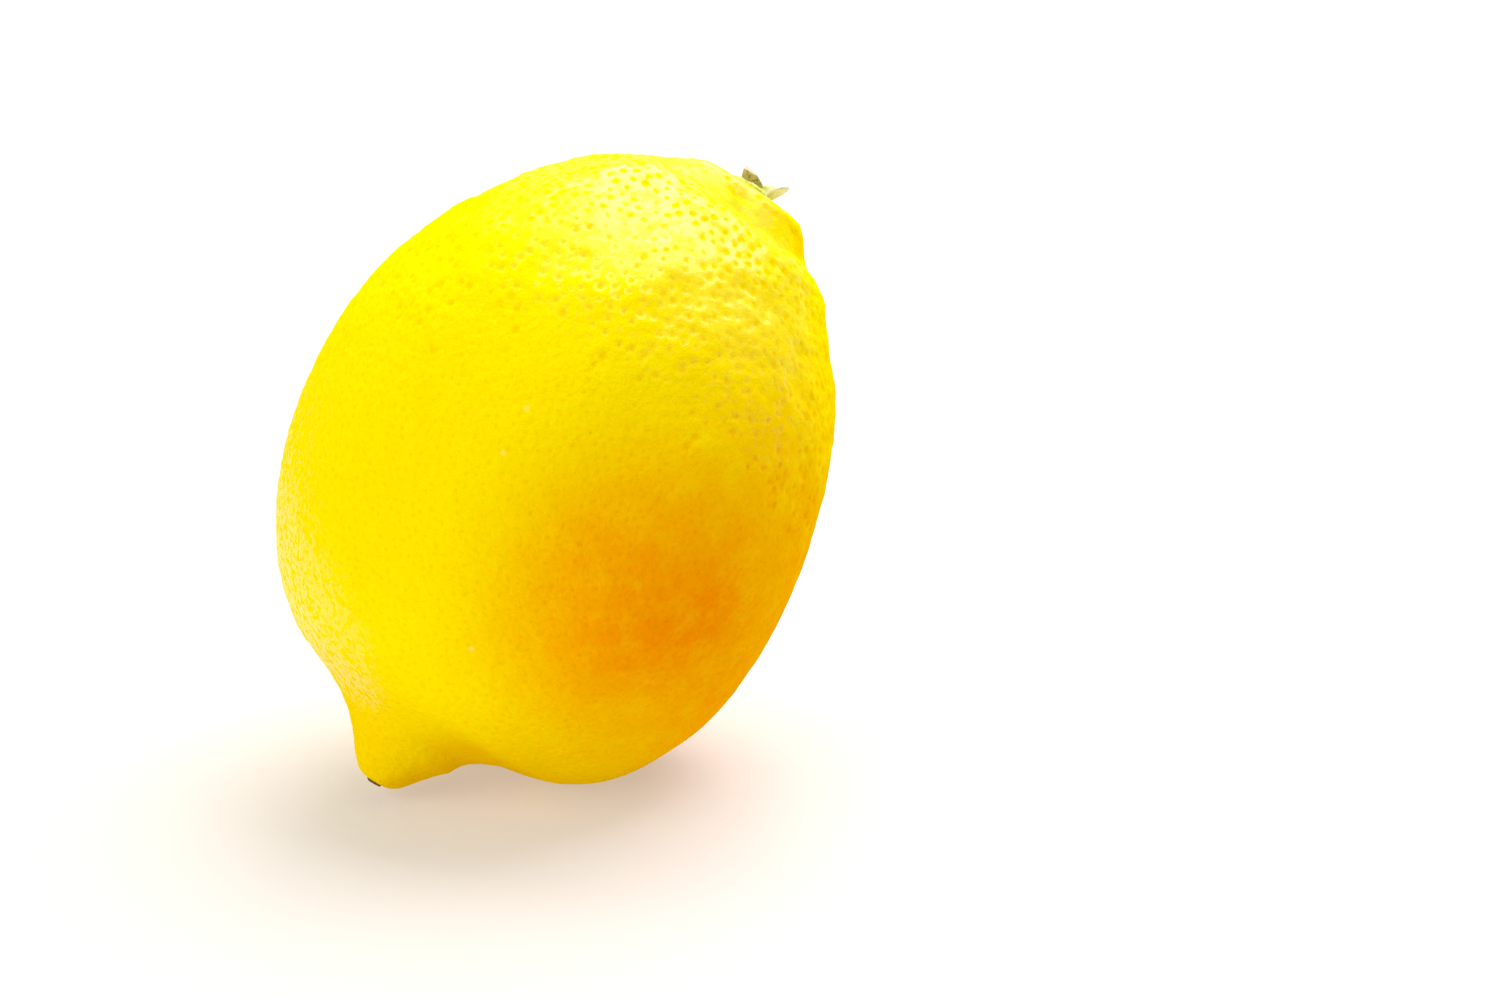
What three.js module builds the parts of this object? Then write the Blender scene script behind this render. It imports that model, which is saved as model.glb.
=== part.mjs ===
// A whole lemon as picked, with its calyx and a short stub of stalk, resting on a small flat spot.
// Millimetres, +Z up. The origin is the middle of the flat spot that the fruit rests on, z = 0 is the table,
// and the fruit's axis lies in the XZ plane, rising from the blossom end towards the stem end at +X.
import * as THREE from "three";

// Fruit, measured along and across its axis.
const LENGTH = 83; // from the blossom tip to the rim of the stem seat
const BELLY_RADIUS = 31; // at the widest ring
const BELLY_HEIGHT = 42.5; // where the widest ring is, from the blossom tip
const NIPPLE_RADIUS = 5; // on the side of the blossom tip, where it starts to flare
const NIPPLE_LENGTH = 9.8; // where the flare meets the shoulder
const FLARE_RADIUS = 14.5; // of the flare where it meets the shoulder
const COLLAR_RADIUS = 16.6; // where the belly turns into the collar below the stem
const COLLAR_HEIGHT = 75.8;
const SEAT_RIM_RADIUS = 5.5; // edge of the shallow seat that holds the calyx
const SEAT_RADIUS = 3.4; // flat floor of the seat
const SEAT_DEPTH = 1.2;
const SEAT_FLOOR = LENGTH - SEAT_DEPTH;
const SEAT_FADE = [81.5, 82.4]; // creases fade out over these heights, below the rim of the seat
const STYLE_PIT_RADIUS = 1.1; // pit at the blossom tip, where the style dried up
const STYLE_PIT_DEPTH = 0.5;

// How the fruit departs from a turned shape. Angles run round the axis, 0 facing -Y and 90 the underside.
const BOW = 2.3; // how far the upper belly's middle lies above the straight line from end to end
const BOW_HEIGHTS = [-8, 62, 75, 82]; // where the bow starts, is full, begins to fade and has gone
const HEEL = 2.8; // extra fullness of the underside, where the fruit's weight lies
const HEEL_HEIGHTS = [8.5, 16, 24, 56]; // where the heel starts, is full, begins to fade and has gone
const UNDERSIDE = 90;
const RIB_COUNT = 9; // one faint rib to each segment of the flesh
const RIB_DEPTH = 0.22;
const RIB_START = [8, 24]; // heights over which the ribs grow out of the nipple
const GROOVE = { height: 78.9, width: 1.5, depth: 1.2, faint: 0.1, angle: 22 }; // a crease round the collar
const FURROW_DEPTH = 0.75; // creases that run from the collar down the shoulder
const FURROW_WIDTH = 11; // degrees
const FURROW_ANGLES = [-98, -52, -8, 31, 74, 121, 178, 221];
const FAINT_FURROW = 0.6; // how deep every other furrow is, next to its neighbours
const FURROW_HEIGHTS = [62, 75, 75, 80.5]; // where a furrow starts, is deepest and has gone

// How it rests.
const TILT = 51.5; // degrees from the table to the axis
const REST_PRESS = 1.1; // how far the flat spot is pressed into the round of the fruit
const REST_EDGE = 0.25; // height over which the flat spot's edge softens

// Calyx, stalk stub and style remnant.
const PIECE_GAP = 0.3; // clearance between neighbouring pieces
const CALYX_RADIUS = 2.5; // in the notch between two lobes
const LOBE_LENGTH = 1.2;
const LOBE_COUNT = 5;
const CALYX_THICKNESS = 0.8;
const LOBE_RISE = 0.6; // how far a lobe's tip lifts over the edge of the seat
const STALK_RADIUS = 1.4;
const STALK_LENGTH = 1.7;
const STALK_LEAN = 22; // degrees, towards the top side
const STALK_OFFSET = 0.4; // of its foot from the axis, towards the top side
const STALK_CUT_SLOPE = 0.3; // the cut drops towards the underside
const STALK_FLUTES = 6;
const FLUTE_DEPTH = 0.07; // as a share of the radius, either side of its middle
const STYLE_RADIUS = 0.7;
const STYLE_LENGTH = 0.9;

const ROUND_SEGMENTS = 72;
const OUTLINE_POINTS = 46;

const peel = new THREE.MeshStandardMaterial({ color: 0xf6d410, roughness: 0.42, metalness: 0 });
const calyxGreen = new THREE.MeshStandardMaterial({ color: 0xb4b254, roughness: 0.75, metalness: 0 });
const stalkBark = new THREE.MeshStandardMaterial({ color: 0x8f7d45, roughness: 0.9, metalness: 0 });
const driedStyle = new THREE.MeshStandardMaterial({ color: 0x4f3514, roughness: 0.9, metalness: 0 });

const smooth = THREE.MathUtils.smoothstep;
const radians = THREE.MathUtils.degToRad;

// Rises from 0 to 1 over the first two heights and falls back to 0 over the last two.
function band(height, [start, full, fade, end]) {
  return smooth(height, start, full) * (1 - smooth(height, fade, end));
}

// The smallest angle between two bearings, in degrees.
function bearingGap(a, b) {
  return Math.abs(((((a - b) % 360) + 540) % 360) - 180);
}

// Moves every vertex of a turned shape: reshape takes its radius, height and bearing and returns a new
// radius and height, with sideways shifts along X if it gives them.
function reshapeTurned(geometry, reshape) {
  const position = geometry.getAttribute("position");
  for (let i = 0; i < position.count; i++) {
    const x = position.getX(i);
    const z = position.getZ(i);
    const bearing = THREE.MathUtils.radToDeg(Math.atan2(x, z));
    const { radius, height, shift = 0 } = reshape(Math.hypot(x, z), position.getY(i), bearing);
    const turn = radians(bearing);
    position.setXYZ(i, radius * Math.sin(turn) + shift, height, radius * Math.cos(turn));
  }
  return geometry;
}

// Half of the fruit's outline: x is the radius and y the height above the blossom tip.
function fruitOutline() {
  const pit = STYLE_PIT_RADIUS;
  const outline = new THREE.Path();
  outline.moveTo(0, STYLE_PIT_DEPTH);
  outline.bezierCurveTo(pit / 2, STYLE_PIT_DEPTH, pit * 0.7, 0, pit, 0);
  outline.bezierCurveTo(2.9, 0, 4, 2.8, NIPPLE_RADIUS, 4);
  outline.bezierCurveTo(7.4, 6.6, 10, 8.5, FLARE_RADIUS, NIPPLE_LENGTH);
  outline.bezierCurveTo(FLARE_RADIUS + 6, NIPPLE_LENGTH + 1.8, BELLY_RADIUS, 22, BELLY_RADIUS, BELLY_HEIGHT);
  outline.bezierCurveTo(BELLY_RADIUS, 58.5, 23, 68.8, COLLAR_RADIUS, COLLAR_HEIGHT);
  outline.bezierCurveTo(12.5, 79, 8.5, 82, SEAT_RIM_RADIUS, LENGTH);
  outline.bezierCurveTo(4.6, LENGTH + 0.2, 4.2, SEAT_FLOOR, SEAT_RADIUS, SEAT_FLOOR);
  outline.lineTo(0, SEAT_FLOOR);
  return outline.getSpacedPoints(OUTLINE_POINTS);
}

// How far the skin lies inside the turned outline at a height and bearing. The crease round the collar is
// deepest at its own angle and faint on the far side.
function creases(height, bearing) {
  const ribs = RIB_DEPTH * (1 - Math.cos(radians(RIB_COUNT * bearing))) * smooth(height, ...RIB_START);
  const away = (height - GROOVE.height) / GROOVE.width;
  const facing = (1 + Math.cos(radians(bearing - GROOVE.angle))) / 2;
  const groove = THREE.MathUtils.lerp(GROOVE.faint, GROOVE.depth, facing) * Math.exp(-away * away);
  const furrows = FURROW_ANGLES.reduce((sum, angle, i) => {
    const across = bearingGap(bearing, angle) / FURROW_WIDTH;
    const strength = i % 2 ? 1 : FAINT_FURROW;
    return sum + strength * Math.exp(-across * across);
  }, 0);
  const belowSeat = 1 - smooth(height, ...SEAT_FADE);
  return (ribs + groove) * belowSeat + FURROW_DEPTH * furrows * band(height, FURROW_HEIGHTS);
}

// How much fuller the underside is than the turned outline.
function heel(height, bearing) {
  const facing = Math.max(0, Math.cos(radians(bearing - UNDERSIDE)));
  return HEEL * band(height, HEEL_HEIGHTS) * facing ** 2;
}

// How far the fruit's middle lies off the straight axis, towards the top side.
function bowAt(height) {
  return BOW * band(height, BOW_HEIGHTS);
}

// Flattens what would sink into the table, with a soft edge round the flat spot.
function pressFlat(z) {
  if (z <= -REST_EDGE) return 0;
  return z >= REST_EDGE ? z : (z + REST_EDGE) ** 2 / (4 * REST_EDGE);
}

// Turns the axis from +Y, where a turned shape grows, to its lean over the table.
const lean = new THREE.Matrix4()
  .makeRotationY(radians(90 - TILT))
  .multiply(new THREE.Matrix4().makeRotationX(Math.PI / 2));

function lowest(position) {
  let low = Infinity;
  for (let i = 0; i < position.count; i++) low = Math.min(low, position.getZ(i));
  return low;
}

// The fruit in the row frame, and the offset that put it there.
function makeFruit() {
  const turned = new THREE.LatheGeometry(fruitOutline(), ROUND_SEGMENTS);
  const geometry = reshapeTurned(turned, (radius, height, bearing) => {
    const inset = radius > SEAT_RADIUS ? creases(height, bearing) : 0;
    return { radius: radius - inset + heel(height, bearing), height, shift: -bowAt(height) };
  });
  geometry.applyMatrix4(lean);
  const position = geometry.getAttribute("position");
  const drop = lowest(position) + REST_PRESS;
  const flat = [];
  for (let i = 0; i < position.count; i++) {
    position.setZ(i, pressFlat(position.getZ(i) - drop));
    if (position.getZ(i) === 0) flat.push(position.getX(i));
  }
  const across = (Math.min(...flat) + Math.max(...flat)) / 2;
  geometry.translate(-across, 0, 0);
  return { geometry, offset: new THREE.Vector3(-across, 0, -drop) };
}

// A star-shaped cup: thin, with lobes that lift over the edge of the seat.
function calyxGeometry() {
  const rim = CALYX_RADIUS;
  const section = new THREE.Path();
  section.moveTo(0, 0);
  section.lineTo(rim * 0.9, 0);
  section.quadraticCurveTo(rim, 0, rim, CALYX_THICKNESS * 0.3);
  section.quadraticCurveTo(rim, CALYX_THICKNESS * 0.55, rim * 0.85, CALYX_THICKNESS * 0.6);
  section.quadraticCurveTo(rim * 0.5, CALYX_THICKNESS, 0, CALYX_THICKNESS);
  const turned = new THREE.LatheGeometry(section.getSpacedPoints(14), 40);
  return reshapeTurned(turned, (radius, height, bearing) => {
    const out = radius / rim;
    const lobe = Math.abs(Math.cos(radians((LOBE_COUNT * bearing) / 2))) ** 0.8;
    const reach = 1 + (LOBE_LENGTH / rim) * lobe * out ** 2;
    const rise = LOBE_RISE * smooth(radius * reach, SEAT_RADIUS - 1.2, CALYX_RADIUS + LOBE_LENGTH);
    return { radius: radius * reach, height: height + rise };
  });
}

// A short fluted stub that leans over its foot and ends in a flat, slanting cut.
function stalkGeometry() {
  const section = new THREE.Path();
  section.moveTo(0, 0);
  section.lineTo(STALK_RADIUS * 1.15, 0);
  section.quadraticCurveTo(STALK_RADIUS * 0.95, STALK_LENGTH * 0.4, STALK_RADIUS, STALK_LENGTH * 0.92);
  section.lineTo(STALK_RADIUS * 0.88, STALK_LENGTH);
  section.lineTo(0, STALK_LENGTH);
  const turned = new THREE.LatheGeometry(section.getSpacedPoints(12), 24);
  return reshapeTurned(turned, (radius, height, bearing) => {
    const flute = 1 - FLUTE_DEPTH * (1 + Math.cos(radians(STALK_FLUTES * bearing)));
    const drop = STALK_CUT_SLOPE * radius * Math.sin(radians(bearing)) * (height / STALK_LENGTH);
    return { radius: radius * flute, height: height - drop, shift: -height * Math.tan(radians(STALK_LEAN)) };
  });
}

// The dry end of the style: a blunt, tapering plug that points out of the blossom tip.
function styleGeometry() {
  const section = new THREE.Path();
  section.moveTo(0, -STYLE_LENGTH);
  section.quadraticCurveTo(STYLE_RADIUS * 0.8, -STYLE_LENGTH, STYLE_RADIUS, -STYLE_LENGTH * 0.3);
  section.lineTo(STYLE_RADIUS * 0.8, 0);
  section.lineTo(0, 0);
  return new THREE.LatheGeometry(section.getSpacedPoints(9), 16);
}

function piece(name, geometry, material) {
  const mesh = new THREE.Mesh(geometry, material);
  mesh.name = name;
  return mesh;
}

const lemon = new THREE.Group();
const fruit = makeFruit();
lemon.add(piece("fruit", fruit.geometry, peel));

// Everything that sits on the fruit's axis is placed in a group that leans with it.
const axis = new THREE.Group();
axis.applyMatrix4(lean);
axis.position.copy(fruit.offset);
lemon.add(axis);

const calyx = piece("calyx", calyxGeometry(), calyxGreen);
calyx.position.set(-bowAt(LENGTH), SEAT_FLOOR + PIECE_GAP, 0);
axis.add(calyx);

const stalk = piece("stalk_stub", stalkGeometry(), stalkBark);
stalk.position.set(-bowAt(LENGTH) - STALK_OFFSET, calyx.position.y + CALYX_THICKNESS + PIECE_GAP, 0);
axis.add(stalk);

const style = piece("style_remnant", styleGeometry(), driedStyle);
style.position.set(-bowAt(0), STYLE_PIT_DEPTH - PIECE_GAP, 0);
axis.add(style);

export default lemon;
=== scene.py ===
"""A whole lemon as picked: fruit, calyx, stalk stub and style remnant, on a plain pale studio floor."""

import math
from functools import cached_property

import bmesh
import bpy
from bpy.props import FloatProperty, FloatVectorProperty, IntProperty, PointerProperty
from mathutils import Matrix, Vector, noise


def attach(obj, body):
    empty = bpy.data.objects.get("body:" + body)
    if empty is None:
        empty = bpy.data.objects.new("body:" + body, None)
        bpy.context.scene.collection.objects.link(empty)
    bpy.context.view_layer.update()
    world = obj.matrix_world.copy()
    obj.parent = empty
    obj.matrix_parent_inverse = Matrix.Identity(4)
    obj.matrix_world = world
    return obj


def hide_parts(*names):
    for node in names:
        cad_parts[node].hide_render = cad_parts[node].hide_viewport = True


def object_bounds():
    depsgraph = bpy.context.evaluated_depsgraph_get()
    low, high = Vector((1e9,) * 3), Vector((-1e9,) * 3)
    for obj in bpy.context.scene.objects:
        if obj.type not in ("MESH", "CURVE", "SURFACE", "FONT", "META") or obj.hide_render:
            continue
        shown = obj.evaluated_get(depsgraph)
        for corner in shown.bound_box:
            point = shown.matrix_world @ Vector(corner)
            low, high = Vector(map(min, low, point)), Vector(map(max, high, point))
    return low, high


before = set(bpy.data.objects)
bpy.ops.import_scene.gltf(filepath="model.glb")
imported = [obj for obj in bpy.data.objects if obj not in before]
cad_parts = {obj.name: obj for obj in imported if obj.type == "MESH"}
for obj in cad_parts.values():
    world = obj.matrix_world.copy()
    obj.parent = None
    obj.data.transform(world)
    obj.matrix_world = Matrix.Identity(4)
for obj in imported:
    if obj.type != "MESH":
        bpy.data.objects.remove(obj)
cad_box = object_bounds()

bl_info = {
    "name": "Lemon",
    "version": (1, 0, 0),
    "blender": (4, 5, 0),
    "location": "View3D > Sidebar > Lemon",
    "description": "Makes a whole lemon with its calyx, stalk stub and style remnant, and a studio for it",
    "category": "Add Mesh",
}

MM = 0.001
BODY = "root"


# Places, from the frame


def middle(node):
    """The mean of a CAD node's vertices, which lies on the fruit's axis."""
    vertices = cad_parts[node].data.vertices
    return sum((v.co for v in vertices), Vector()) / len(vertices)


AXIS = (middle("calyx") - middle("style_remnant")).normalized()
UNDER = Vector((AXIS.z, 0, -AXIS.x))  # square to the axis, towards the table


def foot(node):
    """The point under a CAD node's middle where it starts, going up the axis."""
    centre = middle(node)
    start = min((v.co - centre).dot(AXIS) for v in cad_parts[node].data.vertices)
    return centre + AXIS * start


TIP = foot("fruit")


def on_axis(origin):
    """The place of a piece that grows from origin: its Z runs along the axis and its X points to the underside."""
    turn = Matrix((UNDER, AXIS.cross(UNDER), AXIS)).transposed().to_4x4()
    return Matrix.Translation(origin) @ turn


# Nodes, for materials and for geometry


class Wire:
    """What flows out of a node. Arithmetic on it adds Math nodes, or Vector Math nodes on vectors."""

    def __init__(self, graph, socket):
        self.graph = graph
        self.socket = socket

    def _math(self, operation, first, second):
        vector = any(isinstance(value, Wire) and value.socket.type == "VECTOR" for value in (first, second))
        kind = "ShaderNodeVectorMath" if vector else "ShaderNodeMath"
        return self.graph.add(kind, {"operation": operation}, {0: first, 1: second})

    def __add__(self, value):
        return self._math("ADD", self, value)

    def __radd__(self, value):
        return self._math("ADD", value, self)

    def __sub__(self, value):
        return self._math("SUBTRACT", self, value)

    def __rsub__(self, value):
        return self._math("SUBTRACT", value, self)

    def __mul__(self, value):
        return self._math("MULTIPLY", self, value)

    def __rmul__(self, value):
        return self._math("MULTIPLY", value, self)

    def __truediv__(self, value):
        return self._math("DIVIDE", self, value)

    def __rtruediv__(self, value):
        return self._math("DIVIDE", value, self)

    def most(self, value):
        """The larger of the two."""
        return self._math("MAXIMUM", self, value)

    def dot(self, value):
        sockets = {0: self, 1: tuple(value)}
        return self.graph.add("ShaderNodeVectorMath", {"operation": "DOT_PRODUCT"}, sockets, "Value")

    def squared(self):
        return self * self

    def between(self, low, high):
        """Rises smoothly from 0 to 1 as the value goes from low to high, which may be the smaller."""
        sockets = {"Value": self, "From Min": low, "From Max": high}
        return self.graph.add("ShaderNodeMapRange", {"interpolation_type": "SMOOTHSTEP"}, sockets)


class Graph:
    """Adds nodes to one node tree."""

    def __init__(self, tree):
        self.tree = tree
        tree.nodes.clear()

    def add(self, kind, settings=None, sockets=None, output=0):
        """Adds a node, sets its settings, then its sockets by name or index, and gives the wire out of it."""
        node = self.tree.nodes.new(kind)
        for name, value in (settings or {}).items():
            setattr(node, name, value)
        for key, value in (sockets or {}).items():
            self._feed(node.inputs[key], value)
        return Wire(self, node.outputs[output]) if node.outputs else node

    def _feed(self, socket, value):
        """Links a wire to a socket, or sets the socket to a value of its own kind."""
        if isinstance(value, Wire):
            self.tree.links.new(value.socket, socket)
        elif socket.type == "VECTOR" and isinstance(value, (int, float)):
            socket.default_value = (value,) * 3
        elif socket.type == "RGBA" and len(value) == 3:
            socket.default_value = (*value, 1)
        else:
            socket.default_value = value

    def along(self, direction, length):
        """A vector that way and that long."""
        sockets = {0: tuple(direction), "Scale": length}
        return self.add("ShaderNodeVectorMath", {"operation": "SCALE"}, sockets)

    def noise(self, place, size, detail=2.0, roughness=0.5):
        """Noise from 0 to 1 whose lumps are about that size, in the units of place."""
        sockets = {"Vector": place, "Scale": 1 / size, "Detail": detail, "Roughness": roughness}
        return self.add("ShaderNodeTexNoise", {}, sockets, "Fac")


class Finish(Graph):
    """A material with one Principled shader."""

    def __init__(self, name, **fixed):
        self.material = bpy.data.materials.new(name)
        self.material.use_nodes = True
        super().__init__(self.material.node_tree)
        self.shader = self.add("ShaderNodeBsdfPrincipled").socket.node
        self.add("ShaderNodeOutputMaterial", {}, {"Surface": Wire(self, self.shader.outputs[0])})
        self.set(**{name.replace("_", " "): value for name, value in fixed.items()})
        self.place = self.add("ShaderNodeTexCoord", {}, {}, "Object") * (1 / MM)

    def set(self, **sockets):
        """Feeds the shader's sockets, which are named with spaces or with underscores."""
        for name, value in sockets.items():
            self._feed(self.shader.inputs[name.replace("_", " ")], value)

    def mix(self, factor, first, second, mode="MIX"):
        """Mixes two colours."""
        settings = {"data_type": "RGBA", "blend_type": mode}
        sockets = {0: factor, 6: first, 7: second}
        return self.add("ShaderNodeMix", settings, sockets, 2)

    def tint(self, factor, first, second):
        """Multiplies a colour by a second one, by as much as the factor says."""
        return self.mix(factor, first, second, "MULTIPLY")

    def bump(self, height, depth, under=None):
        """A bumped normal, on top of the one under it. Height runs from 0 to 1 over the depth in millimetres."""
        sockets = {"Height": height, "Distance": depth * MM}
        if under:
            sockets["Normal"] = under
        return self.add("ShaderNodeBump", {}, sockets)

    def attribute(self, name):
        return self.add("ShaderNodeAttribute", {"attribute_name": name}, {}, "Fac")


class Growth(Graph):
    """A geometry tree with named inputs."""

    def __init__(self, name):
        super().__init__(bpy.data.node_groups.new(name, "GeometryNodeTree"))
        self.tree.interface.new_socket("Geometry", in_out="INPUT", socket_type="NodeSocketGeometry")
        self.tree.interface.new_socket("Geometry", in_out="OUTPUT", socket_type="NodeSocketGeometry")
        self.inlet = self.tree.nodes.new("NodeGroupInput")
        self.values = {}

    def input(self, name, kind, value):
        """Adds a named input and gives the wire out of it. The value goes to the modifier."""
        socket = self.tree.interface.new_socket(name, in_out="INPUT", socket_type=kind)
        self.values[socket.identifier] = value
        return Wire(self, self.inlet.outputs[name])

    def finish(self, geometry, material):
        """Ends the tree in real geometry that has the material."""
        real = self.add("GeometryNodeRealizeInstances", {}, {"Geometry": geometry})
        made = self.add("GeometryNodeSetMaterial", {}, {"Geometry": real, "Material": material})
        self.add("NodeGroupOutput", {}, {0: made})

    def grow_on(self, piece):
        """Puts the tree on a piece as a modifier, with its inputs set."""
        modifier = piece.modifiers.new(self.tree.name, "NODES")
        modifier.node_group = self.tree
        for identifier, value in self.values.items():
            modifier[identifier] = value


# Meshes


def new_piece(name, mesh, material=None):
    piece = bpy.data.objects.new(name, mesh)
    bpy.context.scene.collection.objects.link(piece)
    if material:
        mesh.materials.append(material)
    return piece


def settle(piece, node):
    """Makes a piece's modifiers real, gives it smooth faces and puts it in the place of a CAD node."""
    bpy.context.view_layer.update()
    evaluated = piece.evaluated_get(bpy.context.evaluated_depsgraph_get())
    mesh = bpy.data.meshes.new_from_object(evaluated)
    if not mesh.polygons:
        raise RuntimeError(f"{piece.name} has no faces")
    piece.modifiers.clear()
    piece.data = mesh
    mesh.name = piece.name
    mesh.shade_smooth()
    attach(piece, BODY)
    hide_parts(node)


def turned_mesh(name, profile, around, shape, place):
    """A closed mesh turned round Z. shape(radius, height, angle, step) gives each point's x, y and z, all in
    millimetres. The profile starts and ends on the axis."""
    bm = bmesh.new()
    rings = []
    for step, (radius, height) in enumerate(profile):
        count = around if 0 < step < len(profile) - 1 else 1
        angles = [2 * math.pi * k / around for k in range(count)]
        points = [Vector(shape(radius, height, angle, step)) for angle in angles]
        rings.append([bm.verts.new(place @ (point * MM)) for point in points])
    for low, high in zip(rings, rings[1:]):
        for k in range(around):
            after = k + 1
            corners = [low[k % len(low)], low[after % len(low)], high[after % len(high)], high[k % len(high)]]
            bm.faces.new(list(dict.fromkeys(corners)))
    bmesh.ops.recalc_face_normals(bm, faces=bm.faces)
    mesh = bpy.data.meshes.new(name)
    bm.to_mesh(mesh)
    bm.free()
    return mesh


def turned_piece(name, profile, around, shape, place, material):
    """A piece of turned mesh, rounded by one level of subdivision."""
    piece = new_piece(name, turned_mesh(name, profile, around, shape, place), material)
    rounding = piece.modifiers.new("Rounding", "SUBSURF")
    rounding.levels = rounding.render_levels = 1
    return piece


def mark(mesh, name, values):
    """Stores a number on each point of a mesh."""
    mesh.attributes.new(name, "FLOAT", "POINT").data.foreach_set("value", values)


def spread(start, end, count):
    """Evenly spaced values from start to end."""
    return [start + (end - start) * k / (count - 1) for k in range(count)]


def rough(point, size):
    """Smooth noise from -1 to 1 at a point, with lumps of that size."""
    return noise.noise(Vector(point) / size)


# Settings


def colour(name, description, value):
    return FloatVectorProperty(
        name=name, description=description, subtype="COLOR", size=3, min=0, max=1, default=value
    )


def distance(name, description, millimetres):
    return FloatProperty(
        name=name, description=description, subtype="DISTANCE", unit="LENGTH", min=0,
        default=millimetres * MM, precision=5,
    )


def angle(name, description, degrees):
    return FloatProperty(name=name, description=description, subtype="ANGLE", default=math.radians(degrees))


def brightness(name, description, value, unit="NONE"):
    return FloatProperty(name=name, description=description, unit=unit, min=0, default=value)


class LemonPeelSettings(bpy.types.PropertyGroup):
    peel_colour: colour("Peel", "Ripe yellow of the peel", (0.94, 0.74, 0.0))
    # painted shade and bounced orange light, laid low on the front and on the shaded side
    orange_shade_colour: colour("Orange shade", "Deeper orange painted where the fruit lies in shade", (0.93, 0.29, 0.0))
    # painted shade in the pits and creases
    pit_shade_tint: colour("Pit shade", "Multiplies the peel's colour in the pits and creases, as painted shade", (0.99, 0.84, 0.0))
    # painted shade on and under the nipple
    shade_tint: colour("Nipple shade", "Multiplies the peel's colour on and under the nipple, as painted shade", (0.93, 0.74, 0.0))
    # a painted sheen: the paler skin between the pits stands in for their gloss
    ridge_sheen_colour: colour("Ridge sheen", "Paler skin between the pits, painted as sheen", (0.97, 0.80, 0.004))
    scar_colour: colour("Scars", "Pale corky scars", (0.95, 0.80, 0.35))
    voxel: distance("Surface step", "Size of the faces of the skin", 0.467)
    body_spacing: distance("Pit spacing", "Distance between the pits on the belly", 1.0)
    body_radius: distance("Pit radius", "Radius of the pits on the belly", 0.5)
    body_depth: distance("Pit depth", "Depth of the pits on the belly", 0.07)
    stem_spacing: distance("Stem-end spacing", "Distance between the pits at the stem end", 1.35)
    stem_radius: distance("Stem-end radius", "Radius of the pits at the stem end", 0.75)
    stem_depth: distance("Stem-end depth", "Depth of the pits at the stem end", 0.16)
    lump_size: distance("Lump size", "Size of the low lumps of the skin", 6)
    lump_depth: distance("Lump depth", "Height of the low lumps of the skin", 1.1)
    fold_size: distance("Fold size", "Breadth of the folds that run round the stem end", 2.2)
    fold_depth: distance("Fold depth", "Height of the folds that run round the stem end", 0.55)
    grain_size: distance("Grain size", "Size of the small bumps of the skin", 1.3)
    grain_depth: distance("Grain depth", "Height of the small bumps of the skin", 0.35)
    valley_depth: distance("Valley depth", "Depth of the crease round the stalk's boss", 0.6)
    neck_depth: distance("Neck depth", "Depth of the crease under the nipple", 0.9)
    seed: IntProperty(name="Seed", description="Where the pits fall", default=7)


class LemonStemSettings(bpy.types.PropertyGroup):
    calyx_colour: colour("Calyx", "Dry yellow-green of the calyx", (0.62, 0.66, 0.13))
    straw_colour: colour("Straw", "Straw yellow of the calyx's patches", (0.78, 0.74, 0.22))
    pale_colour: colour("Pale lobe", "Whitish green of the palest lobe", (0.82, 0.86, 0.68))
    bark_colour: colour("Bark", "Olive brown of the stalk's side", (0.40, 0.36, 0.09))
    streak_colour: colour("Streaks", "Tan streaks along the bark", (0.60, 0.50, 0.22))
    cut_colour: colour("Cut", "Pinkish tan of the stalk's cut", (0.66, 0.50, 0.38))
    pale_wood_colour: colour("Pale wood", "Palest wood of the cut", (0.78, 0.62, 0.44))
    ring_colour: colour("Ring", "Brown ring in the cut", (0.30, 0.22, 0.10))
    stain_colour: colour("Stain", "Dark green brown of the stains", (0.16, 0.15, 0.05))
    style_colour: colour("Dried style", "Dark brown of the dried style", (0.09, 0.04, 0.01))
    cork_colour: colour("Cork", "Lighter brown of the dried style", (0.24, 0.13, 0.04))


class LemonStageSettings(bpy.types.PropertyGroup):
    floor_colour: colour("Floor", "Plain pale floor", (0.57, 0.525, 0.49))
    floor_glow: brightness("Floor glow", "Light that the floor gives of itself, so that it looks white", 0.33)
    softbox_power: brightness("Softbox", "Power of the softbox above and behind, in watts", 11, "POWER")
    fill_power: brightness("Fill", "Power of the fill light at the front left, in watts", 5.2, "POWER")
    world_glow: brightness("World", "Brightness of the pale world", 0.4)
    azimuth: angle("Azimuth", "Camera's angle round the lemon", -31.3)
    elevation: angle("Elevation", "Camera's angle above the floor", 18)
    reach: distance("Distance", "From the camera to the lemon", 489)
    beside: distance("Beside", "How far right of the lemon the camera aims", 21.97)
    below: distance("Below", "How far below the lemon's middle the camera aims", 3.56)
    lens: FloatProperty(name="Lens", description="Focal length in millimetres", default=100, min=20)


# Fruit


# Spots on the fruit, in millimetres
ORANGE_SHADE_SPOT = (-3.5, -29.5, 29)  # the middle of the deepest painted orange shade, the most orange patch
HIGH_SHOULDER = (15.5, -1, 72.5)  # where the collar stands highest
SEAT_HOLLOW = (20.9, -7.1, 69.2)  # a dent in front of the calyx, with painted shade in it
SCARS = (
    (-16.4, -21.9, 52.2), (-19.5, -22.1, 47.6), (-23.8, -21.8, 25.4), (-2, 29, 52), (12, 26, 30), (-20, 22, 40)
)  # small pale marks, the first one the largest

# Heights up the axis from the blossom tip, in millimetres
NECK = 8.2  # the crease under the nipple, darkened by painted shade as well
RIM = 76.2  # the ridge outside the crease round the boss
VALLEY = 79.4  # the crease round the boss
SEAT = (82.8, 81.2)  # the skin's relief fades out between these, so that the calyx's seat stays smooth

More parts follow.
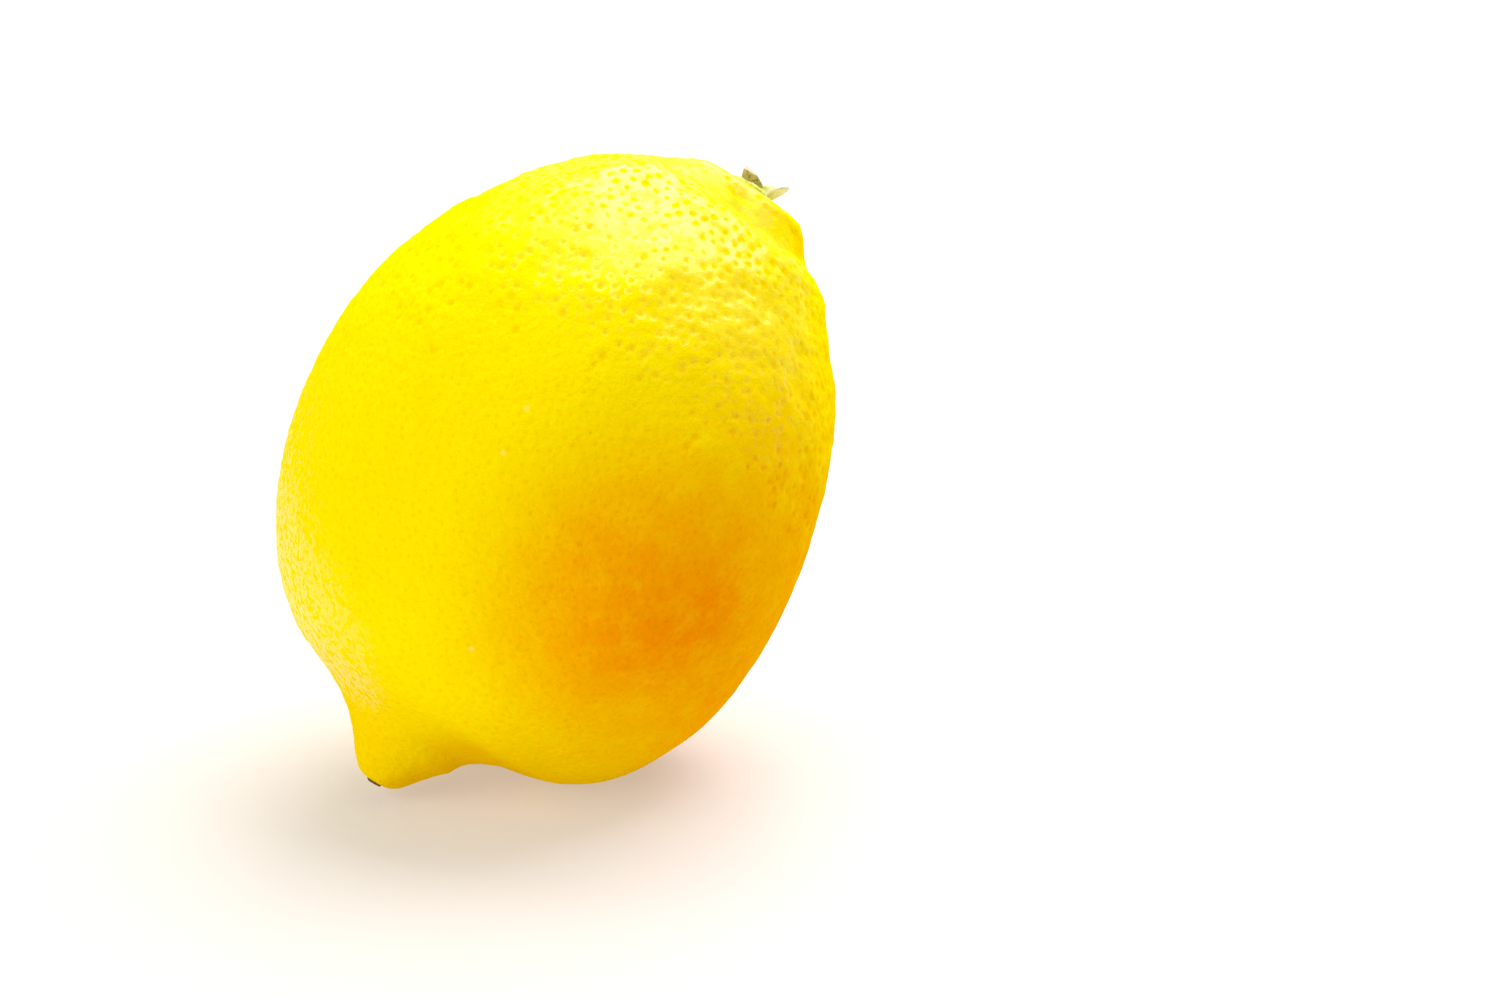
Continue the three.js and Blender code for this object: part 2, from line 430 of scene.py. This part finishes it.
# Bearings round the axis, in degrees from the front towards the underside
FRONT = -30
# the side where the painted orange shade lies
SHADED_SIDE = 48
LEFT_EDGE = -124
LEFT = -80
BACK = 146


def toward(bearing):
    """The direction away from the axis at a bearing, in degrees from the front towards the underside."""
    return Vector((0, -1, 0)) * math.cos(math.radians(bearing)) + UNDER * math.sin(math.radians(bearing))


class Skin:
    """Where things are on the fruit, for a node tree whose places come in units of that many millimetres."""

    def __init__(self, graph, place, unit):
        self.graph = graph
        self.place = place
        self.unit = unit
        self.from_tip = place - tuple(TIP * (unit / MM))
        self.height = self.from_tip.dot(tuple(AXIS)) / unit

    def noise(self, size, detail=2.0, roughness=0.5):
        return self.graph.noise(self.place, size * self.unit, detail, roughness)

    def belt_noise(self, size, stretch, detail=2.0, roughness=0.5):
        """Noise whose lumps are longer round the axis than along it."""
        lengthwise = self.graph.along(tuple(AXIS), self.height * self.unit * (1 - 1 / stretch))
        return self.graph.noise(self.from_tip / stretch + lengthwise, size * self.unit, detail, roughness)

    def facing(self, bearing):
        """From 0 to 1, how much the place faces a bearing."""
        out = self.from_tip - self.graph.along(tuple(AXIS), self.height * self.unit)
        out = self.graph.add("ShaderNodeVectorMath", {"operation": "NORMALIZE"}, {0: out})
        return (out.dot(tuple(toward(bearing))) + 1) / 2

    def near(self, spot, reach, core):
        """1 within core of a spot and 0 beyond reach, in millimetres."""
        gap = self.graph.add(
            "ShaderNodeVectorMath",
            {"operation": "DISTANCE"},
            {0: self.place, 1: tuple(Vector(spot) * self.unit)},
            "Value",
        )
        return (gap / self.unit).between(reach, core)

    @cached_property
    def stem_end(self):
        """1 at the stem end and 0 over the belly, with a ragged border."""
        return (self.height + (self.noise(14) - 0.5) * 30).between(46, 66)

    @cached_property
    def valley(self):
        """1 along the crease round the boss that bears the stalk, on the front and the underside."""
        off = self.height - VALLEY + (self.noise(6) - 0.5) * 2.2
        return off.squared().between(4.5, 0.0) * self.facing(-8).between(0.5, 0.95)

    @cached_property
    def rim(self):
        """1 along the ridge outside that crease."""
        off = self.height - RIM + (self.noise(5) - 0.5) * 3
        return off.squared().between(3.5, 0.1) * self.facing(10).between(0.3, 0.8)

    @cached_property
    def neck(self):
        """1 in the crease under the nipple, where it meets the shoulder."""
        off = self.height - NECK
        return off.squared().between(9, 0.5) * self.facing(45).between(0.6, 0.97)


def gland_pits(graph, skin, spacing, radius, chance, seed):
    """1 in the middle of each pit and 0 outside it. The pits keep their distance and differ in size."""
    scatter = graph.add(
        "GeometryNodeDistributePointsOnFaces",
        {"distribute_method": "POISSON"},
        {
            "Mesh": skin, "Distance Min": spacing, "Density Max": 4 / (spacing * spacing),
            "Density Factor": chance, "Seed": seed,
        },
    )
    size = graph.add("FunctionNodeRandomValue", {"data_type": "FLOAT"}, {2: 0.72, 3: 1.15, 8: seed}, 1)
    nearest = graph.add("GeometryNodeSampleNearest", {"domain": "POINT"}, {0: scatter})
    sockets = {"Geometry": scatter, "Value": size, "Index": nearest}
    own_size = graph.add("GeometryNodeSampleIndex", {"data_type": "FLOAT", "domain": "POINT"}, sockets)
    away = graph.add("GeometryNodeProximity", {"target_element": "POINTS"}, {0: scatter}, "Distance")
    return (away / (radius * own_size)).between(1.0, 0.0)


def skin_tree(settings, material):
    """Presses oil-gland pits and low lumps into the skin, and keeps the flat spot flat."""
    tree = Growth("Lemon skin")
    length = "NodeSocketFloat"
    body_spacing = tree.input("Pit spacing", length, settings.body_spacing)
    body_radius = tree.input("Pit radius", length, settings.body_radius)
    body_depth = tree.input("Pit depth", length, settings.body_depth)
    stem_spacing = tree.input("Stem-end spacing", length, settings.stem_spacing)
    stem_radius = tree.input("Stem-end radius", length, settings.stem_radius)
    stem_depth = tree.input("Stem-end depth", length, settings.stem_depth)
    lump_depth = tree.input("Lump depth", length, settings.lump_depth)
    fold_depth = tree.input("Fold depth", length, settings.fold_depth)
    grain_depth = tree.input("Grain depth", length, settings.grain_depth)
    valley_depth = tree.input("Valley depth", length, settings.valley_depth)
    neck_depth = tree.input("Neck depth", length, settings.neck_depth)
    seed = tree.input("Seed", "NodeSocketInt", settings.seed)
    skin_material = tree.input("Material", "NodeSocketMaterial", material)
    mesh = Wire(tree, tree.inlet.outputs["Geometry"])

    place = tree.add("GeometryNodeInputPosition")
    normal = tree.add("GeometryNodeInputNormal")
    skin = Skin(tree, place, MM)
    stem = skin.stem_end
    smooth = 1 - 0.8 * skin.valley  # the crease has few pits and folds in it
    body_pits = gland_pits(tree, mesh, body_spacing, body_radius, 1 - stem, seed)
    stem_pits = gland_pits(tree, mesh, stem_spacing, stem_radius, stem, seed) * smooth
    lumps = (skin.noise(settings.lump_size / MM, 1.0) - 0.5) * (0.3 + 0.7 * stem)
    folds = (skin.belt_noise(settings.fold_size / MM, 3.2, 2.0, 0.6) - 0.5) * stem * smooth
    grain = (skin.noise(settings.grain_size / MM, 1.0) - 0.5) * (0.3 + 0.7 * skin.facing(-100).between(0.8, 1.0))
    relief = skin.valley - skin.rim * 0.35 - skin.near(HIGH_SHOULDER, 11, 1) * 0.9
    depth = body_pits * body_depth + stem_pits * stem_depth + lumps * lump_depth + folds * fold_depth
    depth = depth + grain * grain_depth + relief * valley_depth + skin.neck * neck_depth
    dent = skin.near(SEAT_HOLLOW, 2.6, 0.4) * 1.2 * valley_depth
    over_table = place.dot((0, 0, 1))
    free = over_table.between(0.2 * MM, 3 * MM) * skin.height.between(*SEAT)
    inward = normal * (0 - depth * free - dent)
    sunk = tree.add("GeometryNodeSetPosition", {}, {"Geometry": mesh, "Offset": inward})
    drop = over_table * (over_table.between(0.02 * MM, 0.16 * MM) - 1)  # brings what nearly rests down to the table
    down = tree.add("ShaderNodeCombineXYZ", {}, {2: drop})
    level = tree.add("GeometryNodeSetPosition", {}, {"Geometry": sunk, "Offset": down})
    stored = tree.add(
        "GeometryNodeStoreNamedAttribute",
        {"data_type": "FLOAT", "domain": "POINT"},
        {"Geometry": level, "Name": "pit", "Value": (body_pits * 0.6).most(stem_pits)},
    )
    tree.finish(stored, skin_material)
    return tree


def peel_yellow(finish, skin, settings, pit, scar):
    """The peel's colour: painted orange shade and bounced light low on the front and on the shaded side, a painted
    sheen of paler skin between the pits, and painted shade in the pits, in the creases and on and under the nipple.
    """
    # Painted shade and bounced orange light: the peel turns deeper orange low on the front and on the shaded side.
    cloudy = (skin.noise(16, 3.0, 0.55) - 0.5) * 0.6
    shaded_side = skin.facing(SHADED_SIDE).between(0.55, 1.0) * skin.height.between(2, 30) * skin.height.between(74, 44)
    orange_shade = ((shaded_side * 0.75).most(skin.near(ORANGE_SHADE_SPOT, 28, 4) * 0.95) * (1 + cloudy)).most(0.0)
    yellow = finish.mix(orange_shade, tuple(settings.peel_colour), tuple(settings.orange_shade_colour))
    # Painted sheen: paler skin between the pits, mottled at random and strongest at the stem end.
    mottle = skin.noise(3.2, 4.0, 0.6).between(0.35, 0.75)
    yellow = finish.mix(mottle * (1 - pit) * (0.2 + 0.4 * skin.stem_end), yellow, tuple(settings.ridge_sheen_colour))
    # Painted shade in the crease round the boss and in the dent in front of the calyx.
    folded = skin.valley * (0.35 + 0.65 * skin.noise(3, 2.0, 0.5).between(0.4, 0.6))
    crease = folded.most(skin.near(SEAT_HOLLOW, 2.3, 0.9))
    yellow = finish.tint(crease, yellow, tuple(settings.pit_shade_tint))
    # Painted shade on the nipple, under it and in the crease of its neck.
    under = skin.facing(70).between(0.45, 0.9) * skin.height.between(16, 6)
    nipple = skin.neck.most(under).most(skin.height.between(14, 4) * 0.5)
    yellow = finish.tint(nipple, yellow, tuple(settings.shade_tint))
    # Painted shade in the pits, half as strong at the stem end.
    yellow = finish.tint(pit.between(0.05, 0.7) * (1 - 0.5 * skin.stem_end), yellow, tuple(settings.pit_shade_tint))
    return finish.mix(scar * 0.25, yellow, tuple(settings.scar_colour))


def wax(skin, pit):
    """How strong the wax gloss is: specks low on the left, patches on the shoulder, a little at the back, and the
    lips of the large pits on the front of the collar."""
    edge = skin.facing(LEFT_EDGE) - skin.height.between(8, 26) * 0.3
    slope = edge.between(0.55, 0.72) * skin.height.between(5, 9) * skin.height.between(46, 15)
    specks = (skin.noise(0.85, 2.0, 0.6) + slope * 0.14).between(0.56, 0.64)
    ragged = skin.height + (skin.noise(9) - 0.5) * 18
    shoulder = ragged.between(59, 73.5) * skin.facing(LEFT).between(0.3, 0.8)
    patchy = 0.3 + 0.7 * skin.noise(2.4, 3.0, 0.6).between(0.36, 0.58)
    away = skin.facing(BACK).between(0.5, 0.85)
    collar = skin.height.between(52, 60) * skin.height.between(74, 64)
    lip = skin.facing(FRONT).between(0.8, 0.95) * collar * pit.between(0.02, 0.15) * pit.between(0.75, 0.4)
    dry = pit.between(0.42, 0.08) * (1 - 0.8 * skin.valley)
    return (0.75 * specks * slope + shoulder * patchy + 0.25 * away) * dry + 0.4 * lip


def peel_finish(settings):
    finish = Finish(
        "Lemon peel", Subsurface_Weight=0.12, Subsurface_Radius=(1.0, 0.55, 0.08), Subsurface_Scale=2 * MM,
        Specular_IOR_Level=0.0, Coat_Roughness=0.27, Coat_IOR=1.6,
    )
    skin = Skin(finish, finish.place, 1.0)
    pit = finish.attribute("pit")
    scar = skin.near(SCARS[0], 0.55, 0.2)
    for spot in SCARS[1:]:
        scar = scar.most(skin.near(spot, 0.45, 0.15))
    fine = finish.bump(finish.noise(finish.place, 0.22, 3.0, 0.6), 0.02)
    finish.set(
        Base_Color=peel_yellow(finish, skin, settings, pit, scar),
        Roughness=0.27 + 0.08 * skin.noise(9) + 0.1 * pit + 0.15 * scar,
        Coat_Weight=wax(skin, pit),
        Normal=finish.bump(finish.noise(finish.place, 1.1, 3.0, 0.6), 0.25, fine),
    )
    return finish.material


def smooth_skin(settings):
    """A fine, even mesh of the fruit's own shape."""
    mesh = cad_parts["fruit"].data.copy()
    mesh.materials.clear()
    bm = bmesh.new()
    bm.from_mesh(mesh)
    bmesh.ops.remove_doubles(bm, verts=bm.verts, dist=0.001 * MM)
    bmesh.ops.join_triangles(
        bm, faces=bm.faces, angle_face_threshold=math.radians(40), angle_shape_threshold=math.radians(60)
    )
    bm.to_mesh(mesh)
    bm.free()
    piece = new_piece("lemon_fruit", mesh)
    rounding = piece.modifiers.new("Rounding", "SUBSURF")
    rounding.levels = rounding.render_levels = 2
    evening = piece.modifiers.new("Even faces", "REMESH")
    evening.mode = "VOXEL"
    evening.voxel_size = settings.voxel
    relaxing = piece.modifiers.new("Relaxing", "SMOOTH")
    relaxing.factor = 0.5
    relaxing.iterations = 5
    return piece


class LEMON_OT_fruit(bpy.types.Operator):
    """Make the fruit: a smooth body with a nipple and a creased collar, and a skin full of oil-gland pits"""

    bl_idname = "lemon.fruit"
    bl_label = "Fruit"

    def execute(self, context):
        settings = context.scene.lemon_peel
        piece = smooth_skin(settings)
        skin_tree(settings, peel_finish(settings)).grow_on(piece)
        settle(piece, "fruit")
        return {"FINISHED"}


# Calyx


LOBES = 5
PALE_LOBE = math.radians(-34)  # where the long, pale lobe points, from the underside
CALYX_NOTCH = 2.5  # radius at the notches between the lobes, in millimetres
LOBE_REACH = 1.3  # how far a lobe can reach past the notches, in millimetres


def from_pale_lobe(angle):
    """The angle from the pale lobe, from half a turn back to half a turn on."""
    return (angle - PALE_LOBE + math.pi) % (2 * math.pi) - math.pi


def calyx_shape(top_from):
    """The calyx's shape. Its top starts at that step of the profile."""

    def shape(radius, height, angle, step):
        out = radius / CALYX_NOTCH
        away = from_pale_lobe(angle)
        is_pale = abs(away) < math.pi / LOBES
        lobe = abs(math.cos((angle - PALE_LOBE) * LOBES / 2))  # 1 along a lobe's middle and 0 in the notches
        longer = 0.9 if is_pale else 0.3
        wide = radius * (1 + longer * LOBE_REACH / CALYX_NOTCH * lobe**1.1 * out**3)
        x, y = wide * math.cos(angle), wide * math.sin(angle)
        if is_pale:
            lift = 0.85 * max(0, wide - 0.9) * lobe**0.5 + 0.45 * wide * math.sin(-away)
        else:
            lift = 0.3 * max(0, (wide - 1.7) / 2.2) ** 1.6
        curl = 0.25 * rough((x, y, 3), 1.1) * out
        vein = 0.07 * math.cos(angle * 25 + 2 * rough((x, y, 0), 0.9)) * out if step >= top_from else 0
        grain = 0.06 * rough((x, y, height), 0.35)
        return x, y, height + lift + curl + vein + grain

    return shape


def mark_lobes(mesh, place):
    """Stores how much each point of the calyx belongs to the pale lobe, and how near the rim it is."""
    pale, rim = [], []
    inward = place.inverted()
    for vertex in mesh.vertices:
        x, y, _ = inward @ vertex.co / MM
        out = math.hypot(x, y)
        aside = abs(from_pale_lobe(math.atan2(y, x)))
        pale.append(max(0, 1 - aside / 0.75) ** 0.4 * min(1, max(0, out - 1.5) * 1.3))
        rim.append(min(1, max(0, (out - 2.9) / 0.8)))
    mark(mesh, "pale", pale)
    mark(mesh, "rim", rim)


def calyx_finish(settings):
    finish = Finish("Dry calyx", Specular_IOR_Level=0.03, Subsurface_Weight=0.05, Subsurface_Scale=1 * MM)
    place = finish.place
    pale = finish.attribute("pale")
    rim = finish.attribute("rim")
    patches = finish.noise(place, 1.3, 4.0, 0.6).between(0.4, 0.65)
    green = finish.mix(patches, tuple(settings.calyx_colour), tuple(settings.straw_colour))
    green = finish.mix(pale * 0.9, green, tuple(settings.pale_colour))
    stains = finish.noise(place, 0.5, 4.0, 0.65).between(0.6, 0.72)
    green = finish.mix((stains * 0.5).most(rim * 0.3 * (1 - pale)), green, tuple(settings.stain_colour))
    fibres = finish.noise(place, 0.16, 3.0, 0.6)
    finish.set(Base_Color=green, Roughness=0.7 + 0.15 * patches, Normal=finish.bump(fibres, 0.06))
    return finish.material


class LEMON_OT_calyx(bpy.types.Operator):
    """Make the calyx: a dry button with five curling lobes, one of them longer and paler"""

    bl_idname = "lemon.calyx"
    bl_label = "Calyx"

    def execute(self, context):
        below = [(CALYX_NOTCH * t, -0.35) for t in spread(0, 1, 14)]
        edge = [(CALYX_NOTCH * 1.03, -0.12), (CALYX_NOTCH * 1.02, 0.12)]
        above = [(CALYX_NOTCH * t, 0.2 + 0.75 * (1 - t**2)) for t in spread(1, 0, 22)]
        place = on_axis(foot("calyx") + AXIS * 0.7 * MM)
        finish = calyx_finish(context.scene.lemon_stem)
        shape = calyx_shape(len(below))
        piece = turned_piece("lemon_calyx", below + edge + above, 120, shape, place, finish)
        mark_lobes(piece.data, place)
        settle(piece, "calyx")
        return {"FINISHED"}


# Stalk stub


STALK_RADIUS = 1.48  # in millimetres
STALK_HEIGHT = 1.85  # in millimetres, to the highest point of the cut
STALK_SHIFT = 0.3  # how far towards the underside it stands, in millimetres
STALK_LEAN = math.radians(20)
CUT_RIDGE = -0.6  # the cut slopes down on both sides of a ridge that stands here, in millimetres
CUT_SLOPE = 0.4
CUT_TILT = 0.2
CORE = 0.1  # radius of the pith's dark dot, in millimetres
STALK_AROUND = 72


def stalk_shape(cut_from):
    """The stub's shape. Its cut starts at that step of the profile."""

    def shape(radius, height, angle, step):
        share = height / STALK_HEIGHT
        bark = rough((math.cos(angle), math.sin(angle), height), 0.5)
        wide = radius * (1 + 0.07 * math.cos(6 * angle + 0.6) + 0.05 * bark)
        x, y = wide * math.cos(angle), wide * math.sin(angle)
        if step >= cut_from:
            hollow = 0.18 * (radius < 0.35)
            height += 0.16 * rough((x, y, 5), 0.45) + 0.05 * rough((x, y, 9), 0.15) - hollow
        drop = (CUT_SLOPE * abs(x - CUT_RIDGE) - CUT_TILT * y) * max(0, share)
        return x - math.tan(STALK_LEAN) * height + STALK_SHIFT, y, height - drop

    return shape


def mark_cut(mesh, profile, cut_from):
    """Stores which points are on the cut, and how dark the wood's ring is there."""
    cut, ring = [], []
    for step, (radius, _) in enumerate(profile):
        is_cut = 1.0 if step >= cut_from else 0.0
        dark = max(0, 1 - abs(radius - 0.3 * STALK_RADIUS) / 0.18) * 0.5 if radius > CORE else 0.7
        count = STALK_AROUND if 0 < step < len(profile) - 1 else 1
        cut += [is_cut] * count
        ring += [is_cut * dark] * count
    mark(mesh, "cut", cut)
    mark(mesh, "ring", ring)


def stalk_finish(settings):
    finish = Finish("Cut stalk", Specular_IOR_Level=0.25)
    place = finish.place
    cut = finish.attribute("cut")
    ring = finish.attribute("ring")
    length = finish.add("ShaderNodeMapping", {"vector_type": "POINT"}, {"Vector": place, "Scale": (2.2, 2.2, 0.8)})
    streaks = finish.noise(length, 0.5, 4.0, 0.65)
    bark = finish.mix(streaks.between(0.35, 0.65), tuple(settings.bark_colour), tuple(settings.streak_colour))
    stains = finish.noise(place, 0.55, 3.0, 0.6).between(0.56, 0.66)
    bark = finish.mix(stains * 0.85, bark, tuple(settings.stain_colour))
    cloudy = finish.noise(place, 0.3, 3.0).between(0.3, 0.7)
    wood = finish.mix(cloudy, tuple(settings.cut_colour), tuple(settings.pale_wood_colour))
    wood = finish.mix(ring, wood, tuple(settings.ring_colour))
    body = finish.mix(cut, bark, wood)
    finish.set(Base_Color=body, Roughness=0.82 - 0.1 * cut, Normal=finish.bump(streaks, 0.12))
    return finish.material


class LEMON_OT_stalk_stub(bpy.types.Operator):
    """Make the short stub of stalk: ribbed bark with a rough, slanting cut"""

    bl_idname = "lemon.stalk_stub"
    bl_label = "Stalk stub"

    def execute(self, context):
        bottom = [(STALK_RADIUS * 1.1 * t, -0.5) for t in spread(0, 1, 6)]
        side = [
            (STALK_RADIUS * (1.15 - 0.15 * min(1, t * 2.5) + 0.04 * t), -0.5 + (STALK_HEIGHT + 0.42) * t)
            for t in spread(0.05, 1, 16)
        ]
        cut = [(STALK_RADIUS * t, STALK_HEIGHT) for t in spread(0.95, 0, 12)]
        profile = bottom + side + cut
        cut_from = len(bottom) + len(side)
        place = on_axis(foot("stalk_stub") - AXIS * 0.2 * MM + UNDER * 0.4 * MM)
        finish = stalk_finish(context.scene.lemon_stem)
        piece = turned_piece("lemon_stalk_stub", profile, STALK_AROUND, stalk_shape(cut_from), place, finish)
        mark_cut(piece.data, profile, cut_from)
        settle(piece, "stalk_stub")
        return {"FINISHED"}


# Style remnant


def style_shape(radius, height, angle, step):
    x, y = math.cos(angle), math.sin(angle)
    ragged = 1 + 0.22 * rough((x * 2, y * 2, height * 2), 1.0) + 0.1 * math.cos(5 * angle)
    return radius * ragged * x, radius * ragged * y, height + 0.12 * rough((x * radius, y * radius, 1), 0.3)


def style_finish(settings):
    finish = Finish("Dried style", Specular_IOR_Level=0.3)
    place = finish.place
    cork = finish.noise(place, 0.35, 4.0, 0.65)
    brown = finish.mix(cork.between(0.4, 0.62), tuple(settings.style_colour), tuple(settings.cork_colour))
    finish.set(Base_Color=brown, Roughness=0.75 + 0.2 * cork, Normal=finish.bump(cork, 0.15))
    return finish.material


class LEMON_OT_style_remnant(bpy.types.Operator):
    """Make the dried end of the style in its pit at the blossom tip"""

    bl_idname = "lemon.style_remnant"
    bl_label = "Style remnant"

    def execute(self, context):
        base = [(1.2 * t, 1.9) for t in spread(0, 1, 6)]
        side = [(1.2 - 0.1 * t - 0.25 * t**3, 1.8 - 1.35 * t) for t in spread(0.05, 1, 14)]
        end = [(0.82 * t, 0.3 + 0.12 * t) for t in spread(0.9, 0, 6)]
        place = on_axis(middle("style_remnant"))
        finish = style_finish(context.scene.lemon_stem)
        piece = turned_piece("lemon_style_remnant", base + side + end, 48, style_shape, place, finish)
        settle(piece, "style_remnant")
        return {"FINISHED"}


# Stage


FLOOR_HALF = 3.0  # in metres


def soft_light(name, direction, distance_away, size, power, aim):
    """A softbox that lies that way from aim and faces it."""
    lamp = bpy.data.lights.new(name, "AREA")
    lamp.shape = "RECTANGLE"
    lamp.size, lamp.size_y = size
    lamp.energy = power
    light = bpy.data.objects.new(name, lamp)
    light.location = aim + direction.normalized() * distance_away
    light.rotation_euler = (-direction).to_track_quat("-Z", "Y").to_euler()
    bpy.context.scene.collection.objects.link(light)


def floor_finish(settings):
    finish = Finish("Pale floor", Specular_IOR_Level=0.2)
    tone = finish.noise(finish.place, 400, 2.0)
    pale = tuple(settings.floor_colour)
    finish.set(
        Base_Color=finish.mix(tone, pale, tuple(0.98 * channel for channel in pale)), Roughness=0.6,
        Emission_Color=(1.0, 0.99, 0.98, 1.0), Emission_Strength=settings.floor_glow,
    )
    return finish.material


def lay_floor(settings):
    corners = [(FLOOR_HALF * x, FLOOR_HALF * y, 0) for x, y in ((-1, -1), (1, -1), (1, 1), (-1, 1))]
    mesh = bpy.data.meshes.new("floor")
    mesh.from_pydata(corners, [], [(0, 1, 2, 3)])
    floor = new_piece("floor", mesh, floor_finish(settings))


def set_camera(settings, back, right, centre):
    data = bpy.data.cameras.new("camera")
    data.lens = settings.lens
    data.sensor_width = 36
    data.clip_start = 0.01
    camera = bpy.data.objects.new("camera", data)
    aim = centre + right * settings.beside - back.cross(right) * settings.below
    camera.location = aim + back * settings.reach
    camera.rotation_euler = back.to_track_quat("Z", "Y").to_euler()
    bpy.context.scene.collection.objects.link(camera)
    bpy.context.scene.camera = camera


class LEMON_OT_stage(bpy.types.Operator):
    """Make the pale floor, the soft lights and the camera"""

    bl_idname = "lemon.stage"
    bl_label = "Stage"

    def execute(self, context):
        settings = context.scene.lemon_stage
        lay_floor(settings)

        a, e = settings.azimuth, settings.elevation
        back = Vector((math.sin(a) * math.cos(e), -math.cos(a) * math.cos(e), math.sin(e)))
        up = Vector((0, 0, 1))
        right = up.cross(back).normalized()
        near = Vector((back.x, back.y, 0)).normalized()
        centre = up * (cad_box[0].z + cad_box[1].z) / 2
        set_camera(settings, back, right, centre)
        behind = right * 0.25 + up * 0.88 - near * 0.42
        front_left = near * 0.7 - right * 0.75 + up * 0.45
        soft_light("back softbox", behind, 0.8, (0.95, 0.85), settings.softbox_power, centre)
        soft_light("front left fill", front_left, 1.0, (0.9, 0.9), settings.fill_power, centre)

        world = bpy.data.worlds.new("studio")
        context.scene.world = world
        world.use_nodes = True
        background = world.node_tree.nodes["Background"]
        background.inputs["Color"].default_value = (1, 1, 1, 1)
        background.inputs["Strength"].default_value = settings.world_glow
        context.scene.view_settings.view_transform = "Standard"
        context.scene.view_settings.look = "None"
        return {"FINISHED"}


# Add-on


class LEMON_PT_parts(bpy.types.Panel):
    bl_label = "Lemon"
    bl_idname = "LEMON_PT_parts"
    bl_space_type = "VIEW_3D"
    bl_region_type = "UI"
    bl_category = "Lemon"

    def draw(self, context):
        for group in (context.scene.lemon_peel, context.scene.lemon_stem, context.scene.lemon_stage):
            for name in group.__annotations__:
                self.layout.prop(group, name)
        for operator in OPERATORS:
            self.layout.operator(operator.bl_idname)


OPERATORS = (LEMON_OT_fruit, LEMON_OT_calyx, LEMON_OT_stalk_stub, LEMON_OT_style_remnant, LEMON_OT_stage)
SETTINGS = {
    "lemon_peel": LemonPeelSettings,
    "lemon_stem": LemonStemSettings,
    "lemon_stage": LemonStageSettings,
}


def register():
    for cls in (*SETTINGS.values(), *OPERATORS, LEMON_PT_parts):
        bpy.utils.register_class(cls)
    for name, cls in SETTINGS.items():
        setattr(bpy.types.Scene, name, PointerProperty(type=cls))


def unregister():
    for name in SETTINGS:
        delattr(bpy.types.Scene, name)
    for cls in (LEMON_PT_parts, *reversed(OPERATORS), *reversed(list(SETTINGS.values()))):
        bpy.utils.unregister_class(cls)


def main():
    register()
    bpy.ops.lemon.fruit()
    bpy.ops.lemon.calyx()
    bpy.ops.lemon.stalk_stub()
    bpy.ops.lemon.style_remnant()
    bpy.ops.lemon.stage()


if __name__ == "__main__":
    main()
